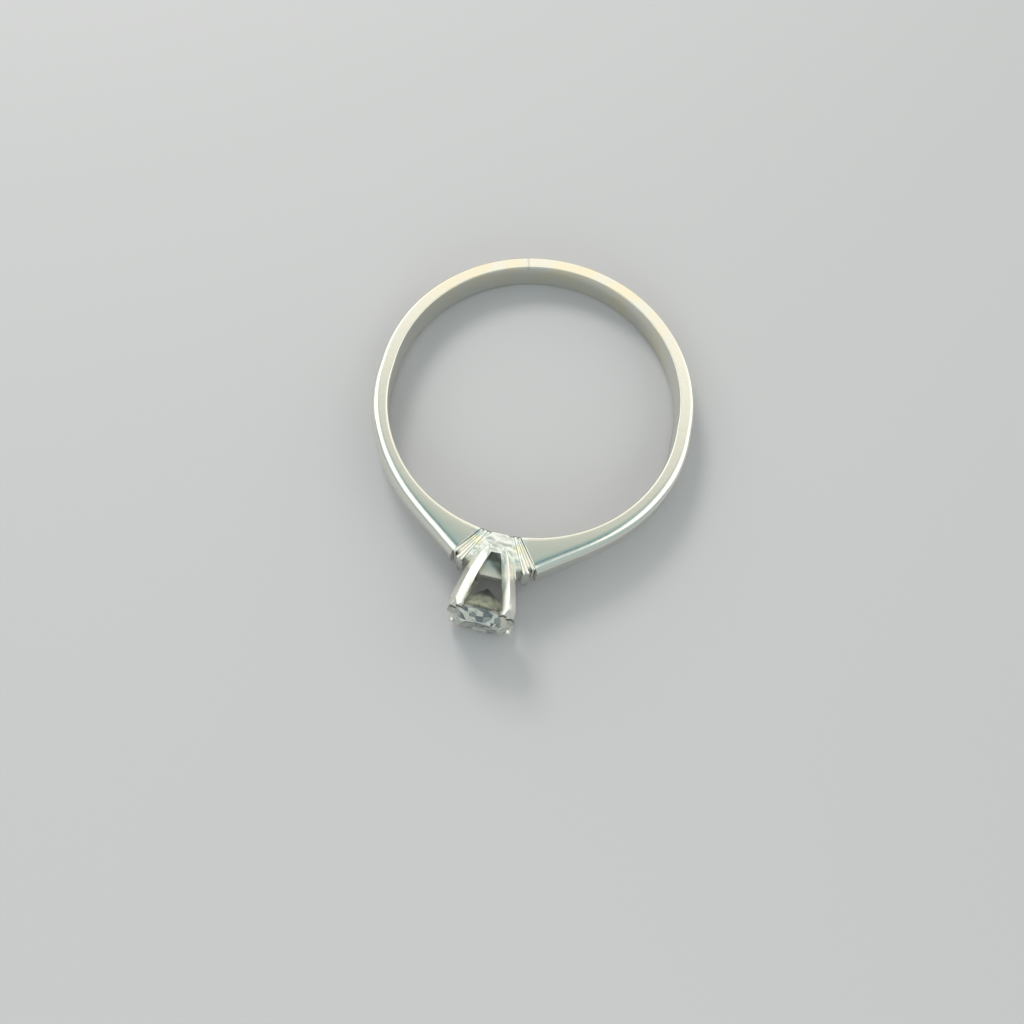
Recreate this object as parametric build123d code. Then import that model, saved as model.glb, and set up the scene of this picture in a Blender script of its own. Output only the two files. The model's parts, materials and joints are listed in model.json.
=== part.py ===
from build123d import *
import os
from collections import namedtuple
from math import atan2, cos, degrees, hypot, pi, radians, sin, sqrt, tan

# White gold ring with one round stone, lying on its side. Lengths are millimetres.
# The ring is made level: the finger hole's axis is Z, its middle is the origin and the
# setting points along -Y. At the end it is tipped until it rests on its two lower claws
# and on the back of the band, as a ring lies on a table.

# Finger hole: two half circles drawn apart along the setting's axis
hole_radius = 8.6
hole_stretch = 0.34

# Band
back_wall = 0.85
shoulder_wall = 1.8
back_width = 1.8
shoulder_width = 2.24
edge_round = 0.26

# The wedge between the shoulders, which holds the ridges and the setting
wedge_half_width = 1.15
wedge_half_angle = 36.0
shoulder_angle = 12.7
groove_depth = 0.13
setting_angle = 20.0

# Block that the claws rise from, with a V notch above and below a thin web
root_depth = 0.35
root_half_width = 0.75
crotch_depth = 1.2
crotch_half_width = 0.25
web_depth = 2.45
arm_outer = 1.45
arm_inner = 0.68
web_thickness = 0.4
block_height = 2.1

# Stone
stone_diameter = 3.8
stone_depth = 4.7
table_share = 0.57
crown_angle = 34.5
star_angle = 21.0
upper_girdle_angle = 41.0
pavilion_angle = 40.8
lower_girdle_angle = 42.0
girdle_thickness = 0.1
facet_count = 8

# Claws
claw_side = 0.57
claw_bite = 0.07
claw_overhang = 0.13
stone_gap = 0.035
notch_width = 0.2
notch_depth = 0.2

# How the wall grows: degrees from the setting, and the share of the extra wall
WallStation = namedtuple("WallStation", "angle share")
wall_stations = [
    WallStation(7.0, 1.3),
    WallStation(shoulder_angle, 1.0),
    WallStation(20.0, 0.68),
    WallStation(30.0, 0.42),
    WallStation(42.0, 0.27),
    WallStation(58.0, 0.19),
    WallStation(76.0, 0.13),
    WallStation(95.0, 0.04),
    WallStation(120.0, 0.0),
    WallStation(150.0, 0.0),
]

# Ridges: first and last angle in the wedge, reach as a share of the shoulder's, and
# height as a share of the shoulder's width
Ridge = namedtuple("Ridge", "outer inner reach height")
ridges = [
    Ridge(wedge_half_angle, 33.2, 1.02, 1.02),
    Ridge(31.2, 24.6, 1.05, 1.04),
]

# Sections of a claw: share of the way from root to girdle, share of the distance from
# the setting's axis, degrees about that axis from the band's plane, and share of the side
ClawSection = namedtuple("ClawSection", "along out turn side")
claw_sections = [
    ClawSection(0.0, 0.44, 63.0, 1.0),
    ClawSection(0.5, 0.73, 51.0, 0.96),
    ClawSection(0.93, 1.0, 47.0, 1.04),
]
claw_tip = ClawSection(1.0, 0.95, 47.0, 0.94)

# Places that follow from the sizes above
rim = hole_radius + hole_stretch
apex = rim - wedge_half_width / tan(radians(wedge_half_angle))
stone_radius = stone_diameter / 2
girdle_at = rim + stone_depth
claw_centre = stone_radius + claw_side / 2 - claw_bite
cut_height = 4 * shoulder_width


def hole_reach(angle):
    """Distance from the hole's middle to its wall, at an angle in degrees from the setting."""
    turn = radians(angle)
    return hole_stretch * abs(cos(turn)) + sqrt(hole_radius**2 - (hole_stretch * sin(turn)) ** 2)


def outer_point(angle, share):
    """A point of the band's outside, seen along the finger hole."""
    wall = back_wall + share * (shoulder_wall - back_wall)
    reach = hole_reach(angle) + wall
    return (reach * sin(radians(angle)), -reach * cos(radians(angle)))


def prism(points, low, high):
    """A flat outline drawn up from one height to another."""
    return extrude(Pos(0, 0, low) * make_face(Polyline(*points, close=True)), high - low)


def fan(outer, inner, reach, height):
    """Two plates, left and right, that spread from the wedge's apex between two angles."""
    plates = []
    for side in (-1, 1):
        ends = [(side * reach * sin(radians(a)), -apex - reach * cos(radians(a))) for a in (outer, inner)]
        plates.append(prism([(0, -apex), *ends], -height / 2, height / 2))
    return plates


def finger_hole():
    """The solid that is cut out for the finger."""
    slot = SlotCenterToCenter(2 * hole_stretch, 2 * hole_radius, rotation=90)
    return extrude(slot, cut_height / 2, both=True)


def band():
    """The shank: open at the setting, wider and thicker towards it, with rounded outer edges."""
    right = [outer_point(s.angle, s.share) for s in wall_stations]
    back = [outer_point(180.0, 0.0)]
    left = [(-x, y) for x, y in reversed(right)]
    outside = Spline(*right, *back, *left)
    outline = make_face([outside, Line(outside @ 1, outside @ 0)])
    blank = extrude(outline, cut_height / 2, both=True)
    back_at = rim + back_wall
    shoulder_at = rim + shoulder_wall
    growth = (shoulder_width - back_width) / (back_at + shoulder_at)
    narrow = back_width - growth * back_at
    wide = shoulder_width + growth * shoulder_at
    near, far = -2 * shoulder_at, 2 * back_at
    corners = [(far, narrow / 2), (near, wide / 2), (near, -wide / 2), (far, -narrow / 2)]
    sides = make_face(Polyline(*corners, close=True))
    blank = blank & extrude(Plane.YZ * sides, far, both=True)
    long_edges = blank.edges().sort_by(Edge.length)[-2:]
    blank = fillet(long_edges, edge_round)
    across = shoulder_at * tan(radians(wedge_half_angle))
    mouth = [(0, -apex), (across, -apex - shoulder_at), (-across, -apex - shoulder_at)]
    return blank - prism(mouth, -cut_height / 2, cut_height / 2)


def wedge():
    """Ridges and the grooves between them, from the shoulders' ends to the setting."""
    x, y = outer_point(shoulder_angle, 1.0)
    reach = hypot(x, -apex - y)
    pieces = fan(wedge_half_angle, setting_angle, reach - groove_depth, shoulder_width - 2 * groove_depth)
    for ridge in ridges:
        pieces += fan(ridge.outer, ridge.inner, ridge.reach * reach, ridge.height * shoulder_width)
    return pieces


def block():
    """The foot of the setting, notched from above and below down to a web."""
    half = block_height / 2
    foot = [(0, -apex), (root_half_width, -rim - root_depth), (arm_outer, -rim - web_depth)]
    foot += [(-x, y) for x, y in reversed(foot[1:])]
    solid = prism(foot, -half, half)
    beyond = (web_depth - crotch_depth) / 2
    spread = beyond * (arm_inner - crotch_half_width) / (web_depth - crotch_depth)
    notch = [(crotch_half_width, -rim - crotch_depth), (arm_inner + spread, -rim - web_depth - beyond)]
    notch += [(-x, y) for x, y in reversed(notch)]
    return solid - prism(notch, web_thickness / 2, block_height) - prism(notch, -block_height, -web_thickness / 2)


def claw_place(section):
    """Middle of a claw's section in the setting's own frame, with the way out as Z."""
    root = rim + root_depth
    tip_step = claw_overhang if section is claw_tip else 0.0
    along = root + section.along * (girdle_at - root) + tip_step
    reach = section.out * claw_centre
    return reach, along


def claw():
    """One claw, up and to the right: a square bar whose flat faces the stone, bent over it."""
    faces = []
    for section in (*claw_sections, claw_tip):
        reach, along = claw_place(section)
        side = section.side * claw_side
        turned = Plane.XZ.offset(along) * Rot(0, 0, section.turn)
        faces.append(turned * Pos(reach, 0) * Rectangle(side, side))
    bar = loft(faces, ruled=True)
    reach, along = claw_place(claw_tip)
    cut = Plane.XZ.offset(along) * Rot(0, 0, claw_tip.turn) * Pos(reach, 0)
    notch = make_face(Polyline((-notch_width / 2, 0), (notch_width / 2, 0), (0, -notch_depth), close=True))
    notch = extrude(Rot(90, 0, 90) * notch, claw_side, both=True)
    return bar - cut * notch


def four(piece):
    """A claw's four places about the setting's axis."""
    return [piece, mirror(piece, Plane.XY), mirror(piece, Plane.YZ), Rot(0, 180, 0) * piece]


def on_setting(shape):
    """Moves a shape made about Z, with the girdle's middle at the origin, into the setting."""
    return Pos(0, -girdle_at, 0) * Rot(90, 0, 0) * shape


def seat():
    """The room cut in the claws for the stone, with its gap."""
    radius = stone_radius + stone_gap
    half = girdle_thickness / 2 + stone_gap
    inner = radius - claw_side
    crown = half + claw_side * tan(radians(crown_angle))
    pavilion = half + claw_side * tan(radians(pavilion_angle))
    side = [(radius, -half), (radius, half), (inner, crown)]
    profile = Polyline((0, -pavilion), (inner, -pavilion), *side, (0, crown), close=True)
    return on_setting(revolve(Plane.XZ * make_face(profile), Axis.Z))


def stone():
    """A round brilliant, cut from a cylinder facet by facet."""
    half = girdle_thickness / 2
    crown_height = (1 - table_share) * stone_radius * tan(radians(crown_angle))
    table_at = half + crown_height
    culet_at = half + stone_radius * tan(radians(pavilion_angle))
    gem = Pos(0, 0, (table_at - culet_at) / 2) * Cylinder(stone_radius, table_at + culet_at)
    step = 2 * pi / facet_count
    star_reach = table_share * stone_radius * cos(step / 2)

    def cut(gem, angle, turn, reach, height):
        """Takes off what lies past a plane through one point, at an angle to the girdle."""
        normal = Vector(sin(angle) * cos(turn), sin(angle) * sin(turn), cos(angle))
        point = Vector(reach * cos(turn), reach * sin(turn), height)
        return split(gem, Plane(origin=point, z_dir=normal), keep=Keep.BOTTOM)

    for i in range(facet_count):
        main = i * step
        gem = cut(gem, radians(crown_angle), main, stone_radius, half)
        gem = cut(gem, radians(star_angle), main + step / 2, star_reach, table_at)
        gem = cut(gem, pi - radians(pavilion_angle), main, stone_radius, -half)
    for i in range(2 * facet_count):
        turn = (i + 0.5) * step / 2
        gem = cut(gem, radians(upper_girdle_angle), turn, stone_radius, half)
        gem = cut(gem, pi - radians(lower_girdle_angle), turn, stone_radius, -half)
    return on_setting(gem.solid())


def metal():
    """Everything that is white gold, as one soldered solid."""
    claws = [bar - seat() for bar in four(claw())]
    body = band()
    for piece in (*wedge(), block(), *claws):
        body = body + piece
    return (body - finger_hole()).solid()


def rest_tilt():
    """Degrees that the ring tips to lie on its lower claws and the back of its band."""
    section = claw_sections[-1]
    reach, along = claw_place(section)
    corner = section.side * claw_side / sqrt(2) * cos(radians(section.turn) - pi / 4)
    claw_low = reach * sin(radians(section.turn)) + corner
    back_low = back_width / 2
    return degrees(atan2(claw_low - back_low, along + rim + back_wall - edge_round))


def lay(shapes):
    """Tips the shapes and moves them so that the box's bottom centre is the origin."""
    tipped = [Rot(-rest_tilt(), 0, 0) * shape for shape in shapes]
    box = Compound(tipped).bounding_box()
    move = Pos(-box.center().X, -box.center().Y, -box.min.Z)
    return [move * shape for shape in tipped]


os.makedirs("parts", exist_ok=True)
ring, gem = lay([metal(), stone()])
export_step(ring, "parts/shank_and_setting.step")
export_step(gem, "parts/stone.step")
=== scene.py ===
import json
from collections import namedtuple
from math import acos, asin, atan2, cos, hypot, pi, radians, sin, sqrt, tan

import bmesh
import bpy
from bpy.props import FloatProperty, FloatVectorProperty, IntProperty, PointerProperty
from mathutils import Matrix, Vector


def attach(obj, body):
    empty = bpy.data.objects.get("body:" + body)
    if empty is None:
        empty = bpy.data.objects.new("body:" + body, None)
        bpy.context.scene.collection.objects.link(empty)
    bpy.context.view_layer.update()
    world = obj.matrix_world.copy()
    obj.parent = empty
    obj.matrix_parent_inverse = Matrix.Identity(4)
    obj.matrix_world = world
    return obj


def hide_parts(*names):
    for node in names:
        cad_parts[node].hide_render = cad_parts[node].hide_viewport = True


# White gold ring with one round stone, lying on its side. Its metal is made level: the
# finger hole's axis is Z, its middle is the origin and the setting points along -Y. Each
# piece is then laid where the part lies.
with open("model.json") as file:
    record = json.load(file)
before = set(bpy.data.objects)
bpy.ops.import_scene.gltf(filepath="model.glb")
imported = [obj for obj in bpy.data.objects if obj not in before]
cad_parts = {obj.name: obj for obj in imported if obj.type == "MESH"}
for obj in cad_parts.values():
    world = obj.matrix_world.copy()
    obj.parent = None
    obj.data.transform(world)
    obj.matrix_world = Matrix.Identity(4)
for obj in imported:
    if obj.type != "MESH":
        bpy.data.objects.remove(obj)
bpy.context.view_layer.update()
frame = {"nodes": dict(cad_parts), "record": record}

bl_info = {
    "name": "White Gold Solitaire Ring",
    "version": (1, 0, 0),
    "blender": (4, 5, 0),
    "location": "View3D > Sidebar > Ring",
    "description": "Builds a tapered ring with ridged shoulders and a claw-set round stone",
    "category": "Add Mesh",
}

MM = 0.001

# How near points are merged, lie on a cutting plane, and count as being at a place
MERGED = 0.0005 * MM
ON_PLANE = 0.001 * MM
NEAR = 0.01 * MM

# Degrees: the shoulder's outer corner from the setting, and the lean of its end face
SHOULDER_ANGLE = 12.7
WEDGE_ANGLE = 36.0

# How the wall grows: degrees from the setting, and the share of the extra wall
WallStation = namedtuple("WallStation", "angle share")
WALL_STATIONS = (
    WallStation(7.0, 1.3),
    WallStation(SHOULDER_ANGLE, 1.0),
    WallStation(20.0, 0.68),
    WallStation(30.0, 0.42),
    WallStation(42.0, 0.27),
    WallStation(58.0, 0.19),
    WallStation(76.0, 0.13),
    WallStation(95.0, 0.04),
    WallStation(120.0, 0.0),
    WallStation(150.0, 0.0),
    WallStation(180.0, 0.0),
)

# The even band that the shank is shaped from: its wall, half its height, and how far in a
# corner's points lie at most, in widths of its rounding
BLANK_WALL = 2 * MM
BLANK_HALF = 2 * MM
ROUND_REACH = 1.01

# Angles from the setting between which the outer rounding grows, the sides' bulge grows,
# and the inner rounding becomes finer, and the one where the end face's lean fades out
ROUND_FROM, ROUND_TO = radians(115.0), radians(45.0)
DOME_FROM, DOME_TO = radians(75.0), radians(20.0)
FINE_FROM, FINE_TO = radians(60.0), radians(110.0)
LEAN_END = radians(34.0)

# Cuts along the band's sides and across a claw's end, and segments of the band's inner and
# outer rounding, of a plate's rounding and of the fine rounding of edges
SIDE_CUTS = 7
TIP_CUTS = 3
INNER_SEGMENTS = 5
OUTER_SEGMENTS = 9
PLATE_SEGMENTS = 6
EDGE_SEGMENTS = 3

# Ridges beside the setting: outer and inner angle in the wedge, reach as a share of the
# shoulder's, and height as a share of the shoulder's width
Ridge = namedtuple("Ridge", "outer inner reach height")
RIDGES = (
    Ridge(WEDGE_ANGLE, 33.2, 1.02, 1.02),
    Ridge(31.2, 24.6, 1.05, 1.04),
)

# A plate in the wedge, which makes a groove's floor or a ridge: angles of its outer and
# inner face, reach from the wedge's apex, height, and rounding as a share of its width
Plate = namedtuple("Plate", "outer inner reach height rounding")
GROOVE_ROUND = 0.06
RIDGE_ROUND = 0.42

# Places along a plate, as shares of the way from the finger hole to its end, and the share
# of the shoulder's reach past which only the plates' ends lie
PLATE_STATIONS = (0.93, 0.5, 0.06, 0.0)
PLATE_END = 0.8

# The foot's width at the finger hole, as a share of its width at the claws' roots
FOOT_NARROW = 0.6

# The web, as an outline drawn across the V: where it starts, as a share of the V's depth,
# how far it stays inside the foot, its width as a share of the V's, the share of the web
# that its curve takes, and the steps of the curve
WEB_START = 0.6
WEB_INSET = 0.98
WEB_WIDTH = 0.95
WEB_CURVE = 0.45
WEB_STEPS = 8

# Degrees between two faces past which an edge of the foot, a claw or a claw's end is
# rounded, and how near a tip's middle the points lie that the notch takes
FOOT_SHARP = 25.0
CLAW_SHARP = 36.0
TIP_SHARP = 40.0
NOTCH_NEAR = 0.02 * MM

# Corners of a square, in turn
SQUARE = ((-1, -1), (1, -1), (1, 1), (-1, 1))

# Sections of a claw: share of the way from root to girdle, share of the distance from the
# setting's axis, degrees about that axis from the band's plane, degrees that the section is
# twisted, and its width across and thickness as shares of the side
ClawSection = namedtuple("ClawSection", "along out turn twist width thickness")
LEFT_CLAW = (
    ClawSection(0.0, 0.22, 60.0, -14.0, 1.0, 1.0),
    ClawSection(0.25, 0.62, 55.0, -14.0, 1.0, 1.0),
    ClawSection(0.5, 0.78, 50.5, -14.0, 1.0, 1.0),
    ClawSection(0.75, 0.90, 48.0, -12.0, 1.0, 1.0),
    ClawSection(0.93, 0.985, 46.5, -8.0, 1.12, 1.04),
    ClawSection(1.0, 0.94, 46.5, -4.0, 1.3, 0.9),
)
RIGHT_CLAW = (
    ClawSection(0.0, 0.22, 60.0, -14.0, 1.0, 1.0),
    ClawSection(0.25, 0.61, 56.0, -12.0, 1.0, 1.0),
    ClawSection(0.5, 0.76, 51.0, -10.0, 1.0, 1.0),
    ClawSection(0.75, 0.90, 48.0, -8.0, 1.02, 1.0),
    ClawSection(0.93, 0.985, 47.0, -5.0, 1.15, 1.0),
    ClawSection(1.0, 0.93, 47.0, -3.0, 1.45, 0.9),
)
LOWER_TIP = ClawSection(1.0, 0.95, 47.0, 0.0, 1.65, 0.7)

# Sockets of a Mix node that mixes colours
MIX_SHARE, MIX_FIRST, MIX_SECOND, MIX_RESULT = 0, 6, 7, 2

# Marks on the metal, in the level ring's axes and millimetres: the seam across the back,
# the yellow patches on the ridges, the painted glint at the left lower claw, the room between
# the claws where shade is painted, as a radius at their roots and its growth per millimetre on
# the way to the stone, and the growth of half the V's width
SEAM_TURN = radians(15.0)
SEAM_COLOUR = (0.55, 0.40, 0.34)
PATCH_OUT, PATCH_FRONT = 1.19, 9.62
GLINT_LEFT, GLINT_LOW = 1.15, 1.72
CLAW_ROOM, CLAW_SPREAD = 0.62, 0.27
V_SPREAD = 0.34

# How far the start and end of the painted shade in the V's recess slant across it
RECESS_START_SLANT, RECESS_END_SLANT = 0.5, 0.8

# Where a mark fades: millimetres along an axis of the level ring, on the way from the
# claws' roots or the girdle outwards, or from the mark's middle or the claws' room
Span = namedtuple("Span", "low high")
WORN_BACK = Span(2.0, 8.0)
SOLDER_START = Span(-0.6, -0.2)
SOLDER_END = Span(1.0, 1.8)
SOLDER_OUT = Span(1.2, 1.7)
PATCH_EDGE = Span(0.15, 0.42)
PATCH_TOP = Span(0.3, 0.6)
SEAM_EDGE = Span(0.0, 0.14)
SEAM_BACK = Span(4.0, 6.0)
SEAM_TOP = Span(0.5, 0.8)
# Where the painted shade in the V's recess lies
RECESS_START = Span(0.75, 0.9)
RECESS_END = Span(1.2, 1.6)
RECESS_HEIGHT = Span(0.9, 1.0)
RECESS_OUT = Span(0.45, 0.7)
# Painted shade inside the setting: between the claws, past their roots and below the top
SHADE_EDGE = Span(-0.05, 0.15)
SHADE_START = Span(2.05, 2.25)
SHADE_TOP = Span(0.3, 0.7)
# Painted dark reflection on the upper claws' ends
TIP_START = Span(0.06, 0.10)
TIP_TOP = Span(0.0, 0.2)
GLINT_EDGE = Span(0.08, 0.2)
GLINT_START = Span(0.1, 0.2)
V_EDGE = Span(-0.05, 0.1)
V_HEIGHT = Span(0.8, 1.0)
V_START = Span(0.7, 0.9)

# How strongly a mark tints the metal, and how much rougher wear, scratches and marks make it
WORN_SHARE = 0.85
SOLDER_SHARE = 0.85
PATCH_SHARE = 0.8
SEAM_SHARE = 0.4
RECESS_SHADE_SHARE = 0.7
SETTING_SHADE_SHARE = 0.9
WEAR_ROUGH = 0.07
SCRATCH_ROUGH = 0.08
SHADE_ROUGH = 0.3
V_ROUGH = 0.28

# Cloudy patterns per millimetre, and the levels between which some of them take effect
Pattern = namedtuple("Pattern", "scale detail roughness")
CLOUDS = Pattern(0.55, 3.0, 0.55)
GRAIN = Pattern(9.0, 5.0, 0.65)
SCRATCHES = Pattern(1.0, 4.0, 0.7)
LUMPS = Pattern(2.2, 1.0, 0.5)
HAZE = Pattern(2.2, 3.0, 0.5)
CLOUD_LEVEL = Span(0.38, 0.62)
GRAIN_LEVEL = Span(0.35, 0.75)
SCRATCH_LEVEL = Span(0.55, 0.7)
FILM_LEVEL = Span(0.35, 0.65)
GLASS_LEVEL = Span(0.5, 0.8)

# Scratches' turn and stretch, the fine bump's strength, and the heights of both bumps
SCRATCH_TURN = (0.3, 0.2, 0.7)
SCRATCH_STRETCH = (3.0, 22.0, 9.0)
FINE_STRENGTH = 0.12
FINE_HEIGHT = 0.02 * MM
LUMP_HEIGHT = 0.05 * MM
LUMP_ELSEWHERE = 0.05

# The stone's marks: millimetres from the girdle towards the finger hole, and across for the crown's ends,
# where a beige reflection is painted. The table is told by how little it faces backwards.
CROWN_EDGE = Span(-0.1, 0.0)
FILM_START = Span(0.0, 0.3)
POINT_START = Span(0.7, 1.2)
CULET_START = Span(0.75, 1.25)
CROWN_ENDS = Span(0.8, 1.4)
TABLE_FACING = Span(0.07, 0.12)

# The dull layer's shares: the film at least, more where it is thick; painted shade at the stone's point;
# painted facet reflections on the crown and less on the table; then the painted beige reflection's share at
# the crown's ends
FILM_LEAST, FILM_MORE = 0.45, 0.35
# Painted shade: the share of the nearly black tone at the stone's point
POINT_SHADE = 0.8
CROWN_REFLECTIONS, TABLE_CLEAR = 0.52, 0.4
CROWN_END_REFLECTION_SHARE = 0.6

# Roughness of the clear stone, what its haze adds, and roughness of the film
GLASS_ROUGHNESS, HAZE_ROUGH = 0.03, 0.05
FILM_ROUGHNESS = 0.35

# Painted reflections that the crown's facets take by chance: share of the chances, and the colour
FacetStop = namedtuple("FacetStop", "share colour")
FACET_REFLECTION_STOPS = (
    FacetStop(0.0, (0.05, 0.07, 0.08)),
    FacetStop(0.26, (0.16, 0.20, 0.21)),
    FacetStop(0.42, (0.50, 0.60, 0.55)),
    FacetStop(0.62, (0.74, 0.71, 0.60)),
    FacetStop(1.0, (0.95, 1.0, 0.97)),
)

# Facets are told apart by the way that they face, shifted to stay positive and rounded to
# a step. Each then has a cell pattern of its own, moved by a multiple of that way.
FACET_SHIFT = (1.013, 1.029, 1.041)
FACET_STEP = (0.07, 0.07, 0.07)
FACET_MOVE = (3.0, 3.0, 3.0)
FACET_CELLS = 2.2
STONE_IOR = 2.2
# Painted shade: the nearly black tone at the stone's point
CULET_SHADE = (0.03, 0.03, 0.03)
# Painted reflection: beige towards the crown's two ends
CROWN_END_REFLECTION = (0.72, 0.68, 0.58)

# Colours of the surroundings overhead: how far a direction points backwards, from -1 to 1,
# and the colour
SkyStop = namedtuple("SkyStop", "way colour")
SKY_STOPS = (
    SkyStop(-0.6, (0.52, 0.62, 0.62)),
    SkyStop(-0.18, (0.42, 0.54, 0.56)),
    SkyStop(-0.02, (0.38, 0.51, 0.54)),
    SkyStop(0.07, (0.06, 0.15, 0.18)),
    SkyStop(0.15, (0.31, 0.46, 0.46)),
    SkyStop(0.23, (0.40, 0.54, 0.53)),
    SkyStop(0.31, (0.42, 0.53, 0.51)),
    SkyStop(0.38, (0.60, 0.65, 0.60)),
    SkyStop(0.46, (0.73, 0.73, 0.67)),
    SkyStop(0.56, (1.20, 1.18, 1.08)),
)
SIDE_GLOW = (1.7, 1.7, 1.62)
HORIZON_FRONT = (0.48, 0.52, 0.52)
HORIZON_BACK = (0.90, 0.93, 0.89)

# Where the surroundings change, by a direction's parts: the glow at the sides starts this
# far out, back and up, lower at the back and farther back on the right; then the horizon
GLOW_OUT = Span(0.36, 0.62)
GLOW_BACK = Span(-0.68, -0.42)
GLOW_UP = Span(0.3, 0.55)
GLOW_LOWER = Span(0.0, 0.25)
GLOW_SLANT, GLOW_DROP = 0.5, 0.5
HORIZON_TURN = Span(-0.1, 0.3)
HORIZON_UP = Span(0.05, 0.3)

# The floor: half its side in metres, its colour and its roughness
FLOOR_HALF = 0.6
FLOOR_COLOUR = (0.44, 0.432, 0.444, 1.0)
FLOOR_ROUGHNESS = 0.7

# Soft lights: place and size in metres, and colour
SoftLight = namedtuple("SoftLight", "name at size colour")
KEY = SoftLight("key", (-0.08, 0.11, 0.12), 0.06, (1.0, 0.98, 0.94))
FILL = SoftLight("fill", (0.02, -0.13, 0.06), 0.08, (0.96, 1.0, 0.98))

# The camera in the level ring's axes, as measured in the photograph: its own axes, its
# place in millimetres, its sensor, and the nearest and farthest that it sees in metres
CAMERA_RIGHT = Vector((0.97323, 0.22413, 0.05078))
CAMERA_DOWN = Vector((0.22757, -0.90913, -0.34886))
CAMERA_AHEAD = Vector((-0.03203, 0.35108, -0.93580))
CAMERA_AT = Vector((2.039, -26.373, 51.125))
CAMERA_SENSOR = 36.0
CAMERA_NEAREST, CAMERA_FARTHEST = 0.002, 5.0


def length_property(name, description, millimetres):
    """A length that a user can change."""
    return FloatProperty(name=name, description=description, default=millimetres * MM, unit="LENGTH")


def angle_property(name, description, degrees):
    """An angle that a user can change."""
    return FloatProperty(name=name, description=description, default=radians(degrees), subtype="ANGLE")


def share_property(name, description, default, least=0.0):
    """A share of one that a user can change."""
    limits = {"min": least, "max": 1.0}
    return FloatProperty(name=name, description=description, default=default, subtype="FACTOR", **limits)


def power_property(name, description, watts):
    """A light's power that a user can change."""
    return FloatProperty(name=name, description=description, default=watts, min=0.0, unit="POWER")


def colour_property(name, description, default):
    """A colour that a user can change."""
    kind = {"subtype": "COLOR", "size": 3, "min": 0.0, "max": 1.0}
    return FloatVectorProperty(name=name, description=description, default=default, **kind)


class RingShankSizes(bpy.types.PropertyGroup):
    """Sizes of the finger hole and the band."""

    hole_radius: length_property("Hole radius", "Radius of the hole's two half circles", 8.6)
    hole_stretch: length_property("Hole stretch", "How far each half circle is drawn from the middle", 0.34)
    mount_shift: length_property("Mount shift", "From the hole's middle to the mount's axis", 0.14)
    back_wall: length_property("Back wall", "Thickness of the band at the back", 0.848)
    shoulder_wall: length_property("Shoulder wall", "Thickness of the band at the shoulders", 1.8)
    back_width: length_property("Back width", "Axial width at the back", 1.8)
    shoulder_width: length_property("Shoulder width", "Axial width at the shoulders", 2.24)
    inner_round: length_property("Inner round", "Rounding of the edges at the finger", 0.14)
    back_fineness: share_property("Back fineness", "Share of the inner rounding at the back", 0.35, 0.01)
    back_round: length_property("Back round", "Rounding of the outer edges at the back", 0.26)
    shoulder_round: length_property("Shoulder round", "Rounding of the outer edges at the shoulders", 0.60)
    left_rise: length_property("Left rise", "Height of that rounding on the left", 0.66)
    right_rise: length_property("Right rise", "Height of that rounding on the right", 0.46)
    end_round: length_property("End round", "Rounding of the shoulders' end edges", 0.05)
    left_dome: length_property("Left dome", "Bulge of the left shoulder's side", 0.13)
    right_dome: length_property("Right dome", "Bulge of the right shoulder's side", 0.05)
    dome_top: share_property("Dome top", "Place of the bulge's top, as a share of the wall", 0.3)
    steps: IntProperty(name="Steps", description="Sections round the band", default=220, min=24)


class RingSettingSizes(bpy.types.PropertyGroup):
    """Sizes of the wedge, the setting and its claws."""

    wedge_half_width: length_property("Wedge half width", "Half the shoulders' gap at the finger", 1.15)
    wedge_half_angle: angle_property("Wedge half angle", "Lean of the shoulders' ends", WEDGE_ANGLE)
    shoulder_angle: angle_property("Shoulder angle", "Place of the shoulder's outer corner", SHOULDER_ANGLE)
    setting_angle: angle_property("Setting angle", "Inner end of the grooved part", 20.0)
    groove_depth: length_property("Groove depth", "Depth of the grooves between the ridges", 0.13)
    ridge_sag: length_property("Ridge sag", "Fall of the ridges towards the finger hole", 0.25)
    root_depth: length_property("Root depth", "From the finger hole's rim to the claws' roots", 0.35)
    root_half_width: length_property("Root half width", "Half the foot's width at the claws' roots", 0.75)
    crotch_depth: length_property("Crotch depth", "From the rim to the point of the V", 1.2)
    crotch_half_width: length_property("Crotch half width", "Half the width of the V at its point", 0.25)
    web_depth: length_property("Web depth", "From the rim to the end of the web", 2.45)
    arm_outer: length_property("Arm outer", "Half the setting's width at the web's end", 1.45)
    arm_inner: length_property("Arm inner", "Half the V's width at the web's end", 0.68)
    web_thickness: length_property("Web thickness", "Thickness of the web in the V", 0.4)
    web_sag: length_property("Web sag", "Fall of the web's faces from its end to the V's point", 0.16)
    web_rise: length_property("Web rise", "Rise of the web's faces at its end", 0.06)
    foot_fall: length_property("Foot fall", "Fall of the foot's faces at the finger hole", 0.07)
    foot_rise: length_property("Foot rise", "Rise of the foot's faces at the V's point", 0.05)
    block_height: length_property("Block height", "Axial height of the setting's foot", 2.1)
    stone_diameter: length_property("Stone diameter", "Girdle diameter of the stone", 3.8)
    stone_depth: length_property("Stone depth", "From the rim to the stone's girdle", 4.7)
    claw_side: length_property("Claw side", "Side of a claw's square section", 0.57)
    claw_bite: length_property("Claw bite", "How far a claw reaches over the girdle", 0.07)
    claw_overhang: length_property("Claw overhang", "From the girdle to an upper claw's end", 0.13)
    lower_overhang: length_property("Lower overhang", "From the girdle to a lower claw's end", 0.34)
    notch_depth: length_property("Notch depth", "Depth of the notch that splits a claw's tip", 0.27)
    tip_round: length_property("Tip round", "Rounding of the claws' ends", 0.09)
    edge_round: length_property("Edge round", "Rounding of the setting's edges", 0.05)


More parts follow.
